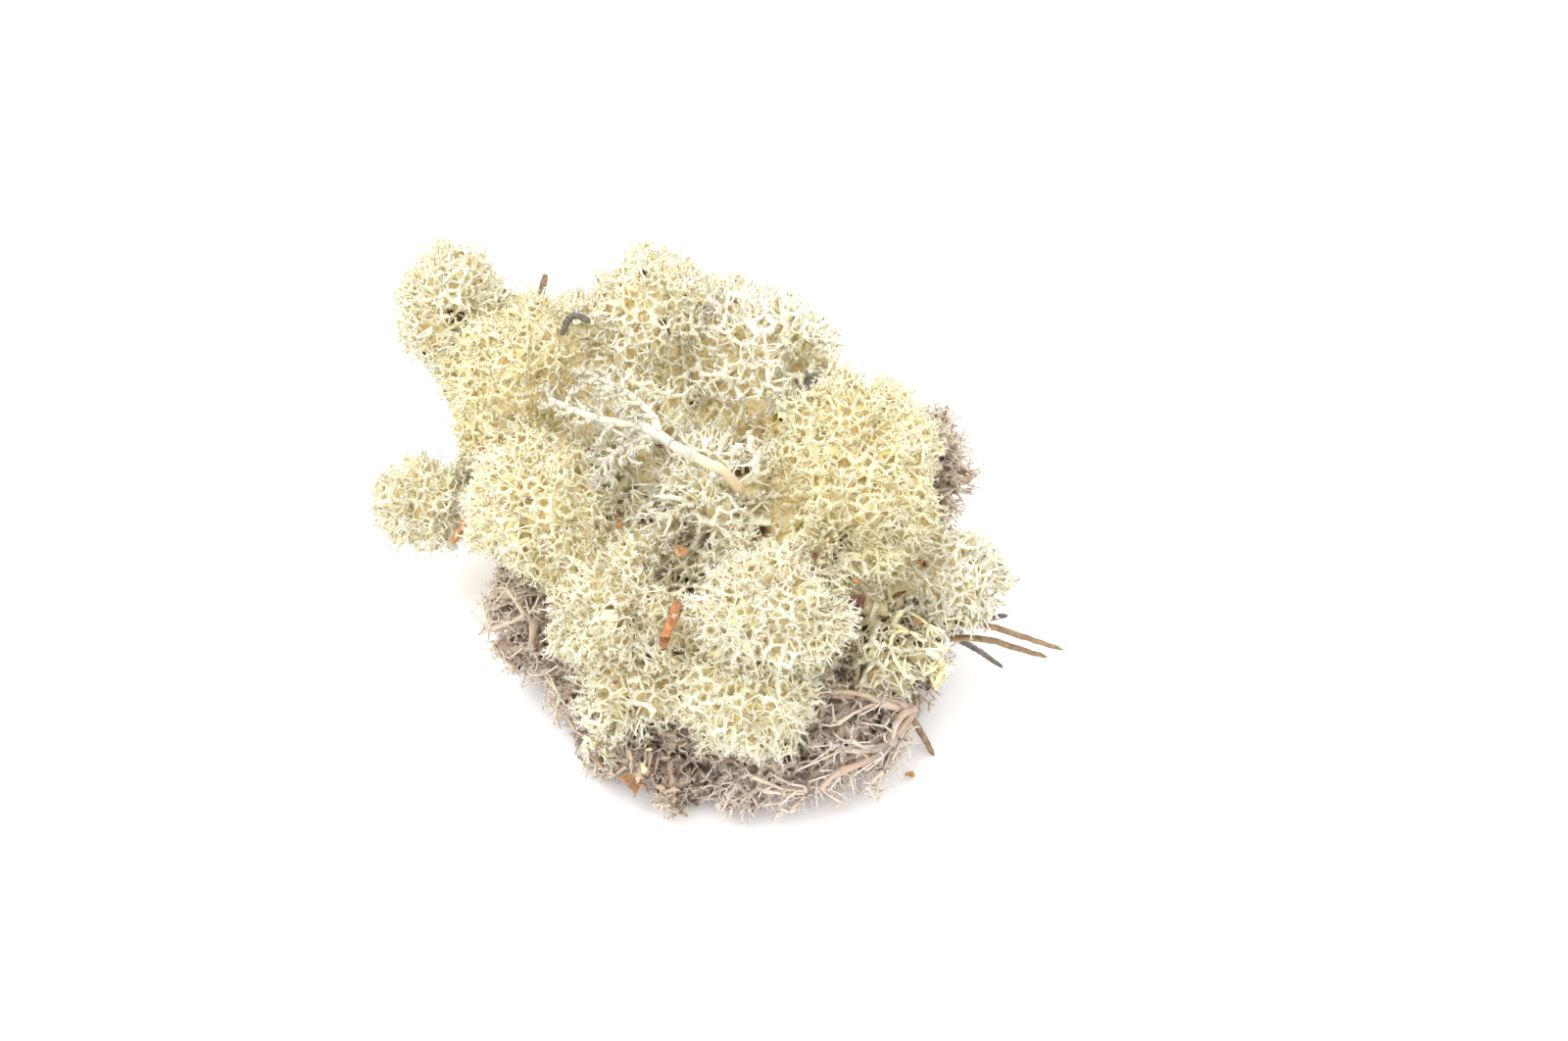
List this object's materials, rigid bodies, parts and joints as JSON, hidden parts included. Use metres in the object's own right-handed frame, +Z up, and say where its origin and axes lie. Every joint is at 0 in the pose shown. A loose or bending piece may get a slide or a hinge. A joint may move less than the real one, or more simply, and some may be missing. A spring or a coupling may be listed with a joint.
{
  "type": "reindeer lichen clump",
  "caption": "Picked cushion of pale yellow reindeer lichen on a grey-brown dead base, with pine needles and bark flakes caught in it.",
  "frame": {"origin": "middle of the clump's footprint, on the surface that it rests on", "axes": "+Z up as it lies on a table, +X to the right along its longest side, toward the pine needles, +Y away from the viewer of its front"},
  "size_m": [0.1076, 0.085, 0.0554],
  "materials": {
    "living_lichen": "matte",
    "dead_lichen": "matte",
    "bare_branch": "matte",
    "brown_needle": "satin",
    "grey_needle": "satin",
    "bark": "rough",
    "bud_scale": "satin"
  },
  "bodies": {
    "root": {"crown_back_left": "living_lichen", "crown_left_upper": "living_lichen", "crown_top": "living_lichen", "crown_open": "living_lichen", "crown_right": "living_lichen", "crown_middle": "living_lichen", "crown_centre": "living_lichen", "crown_front": "living_lichen", "crown_front_low": "living_lichen", "crown_left_mid": "living_lichen", "crown_left_low": "living_lichen", "crown_far_left": "living_lichen", "crown_right_tip": "living_lichen", "crown_right_low": "living_lichen", "crown_left_foot": "living_lichen", "crown_back": "living_lichen", "crown_back_foot": "living_lichen", "dead_left": "dead_lichen", "dead_strands": "dead_lichen", "dead_front_left": "dead_lichen", "dead_front_middle": "dead_lichen", "dead_front_right": "dead_lichen", "dead_back_right": "dead_lichen", "dead_right": "dead_lichen", "dead_core_left": "dead_lichen", "dead_core_right": "dead_lichen", "dead_back": "dead_lichen", "needle_pair_upper": "brown_needle", "needle_pair_lower": "brown_needle", "needle_grey": "grey_needle", "needle_drooping": "grey_needle", "needle_low": "brown_needle", "needle_hooked": "brown_needle", "needle_top": "brown_needle", "needle_left": "bud_scale", "stick_front": "brown_needle", "branch_stem": "bare_branch", "branch_front_arm": "bare_branch", "branch_middle_arm": "bare_branch", "branch_back_arm": "bare_branch", "bark_right": "bark", "bark_top": "bark", "bud_husk": "bud_scale", "bud_scale_middle": "bud_scale", "crumb_ground": "bud_scale"}
  },
  "joints": []
}
